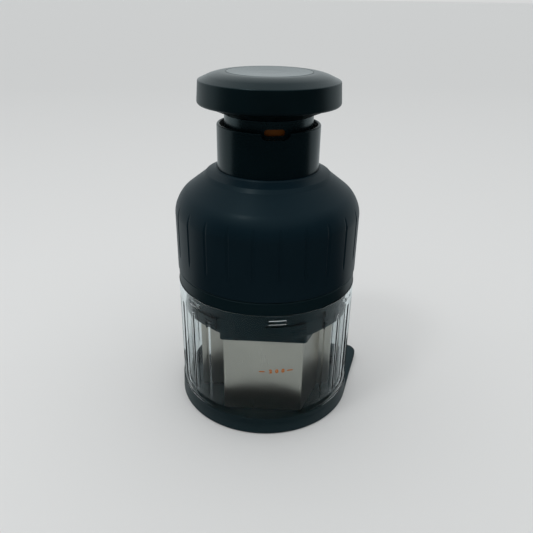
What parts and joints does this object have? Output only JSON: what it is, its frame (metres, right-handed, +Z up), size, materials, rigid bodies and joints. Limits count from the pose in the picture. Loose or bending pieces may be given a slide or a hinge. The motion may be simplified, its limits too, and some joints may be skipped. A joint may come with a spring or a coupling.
{
  "type": "plunger food chopper",
  "caption": "Hand-pumped food chopper: a palm knob on a spring-loaded stem drives turning blades down through a clear cup on a tabbed base tray.",
  "frame": {"origin": "on the plunger's axis, at the underside of the rubber pad that the chopper stands on", "axes": "+Z up along the plunger's axis; -Y is the front, with the fill mark and the lock window; the pull tab points 19 degrees from +X towards +Y"},
  "size_m": [0.1035, 0.0918, 0.1682],
  "materials": {
    "pad_rubber": "matte rubber",
    "tray_plastic": "satin black",
    "clear_plastic": "clear polished",
    "seal_rubber": "soft matte",
    "shell_plastic": "satin black",
    "grip_rubber": "soft-touch black",
    "collar_plastic": "semi-gloss black",
    "bearing_plastic": "natural acetal",
    "inner_plastic": "moulded dark grey",
    "screw_steel": "plain stainless",
    "spring_steel": "drawn wire",
    "stem_plastic": "satin black",
    "flag_plastic": "orange moulded",
    "knob_plastic": "soft satin black",
    "cap_plastic": "satin black",
    "shaft_steel": "ground stainless",
    "carrier_plastic": "satin black",
    "blade_steel": "satin stainless"
  },
  "bodies": {
    "base": {"base_pad": "pad_rubber", "base_tray": "tray_plastic"},
    "cup": {"cup": "clear_plastic", "cup_seal": "seal_rubber"},
    "housing": {"housing_shell": "shell_plastic", "housing_gasket": "seal_rubber", "housing_grip": "grip_rubber", "neck_collar": "collar_plastic", "collar_nut": "shell_plastic", "guide_bush": "bearing_plastic", "guide_plate": "inner_plastic", "plate_screws": "screw_steel", "cam_nut": "bearing_plastic", "cam_pins": "screw_steel", "stop_bumper": "seal_rubber", "return_spring": "spring_steel"},
    "plunger": {"plunger_stem": "stem_plastic"},
    "knob": {"lock_sleeve": "inner_plastic", "lock_flag": "flag_plastic", "sleeve_clip": "screw_steel", "spring_washer": "screw_steel", "knob_base": "knob_plastic", "knob_cover": "knob_plastic", "knob_cap": "cap_plastic", "knob_screws": "screw_steel"},
    "rotor": {"drive_shaft": "shaft_steel", "thrust_washers": "bearing_plastic", "shaft_screw": "screw_steel", "blade_carrier": "carrier_plastic", "blade_front": "blade_steel", "blade_rear": "blade_steel", "blade_rivets": "screw_steel", "carrier_screw": "screw_steel"}
  },
  "joints": [
    {"name": "cup_lift", "type": "slide", "parent": "base", "child": "cup", "axis": [0, 0, 1], "range_m": [0, 0.03]},
    {"name": "housing_twist", "type": "hinge", "parent": "cup", "child": "housing", "pos_m": [0, 0, 0.07], "axis": [0, 0, 1], "range_deg": [-26, 0]},
    {"name": "plunger_stroke", "type": "slide", "parent": "housing", "child": "plunger", "axis": [0, 0, 1], "range_m": [0, 0.037], "deforming": ["return_spring"]},
    {"name": "knob_lock", "type": "hinge", "parent": "plunger", "child": "knob", "pos_m": [0, 0, 0.15], "axis": [0, 0, 1], "range_deg": [0, 30]},
    {"name": "rotor_turn", "type": "hinge", "parent": "plunger", "child": "rotor", "pos_m": [0, 0, 0.05], "axis": [0, 0, 1], "range_deg": [0, 30]}
  ],
  "couplings": [
    {"joint": "rotor_turn", "follows": "plunger_stroke", "rad_per_m": 14.151}
  ]
}
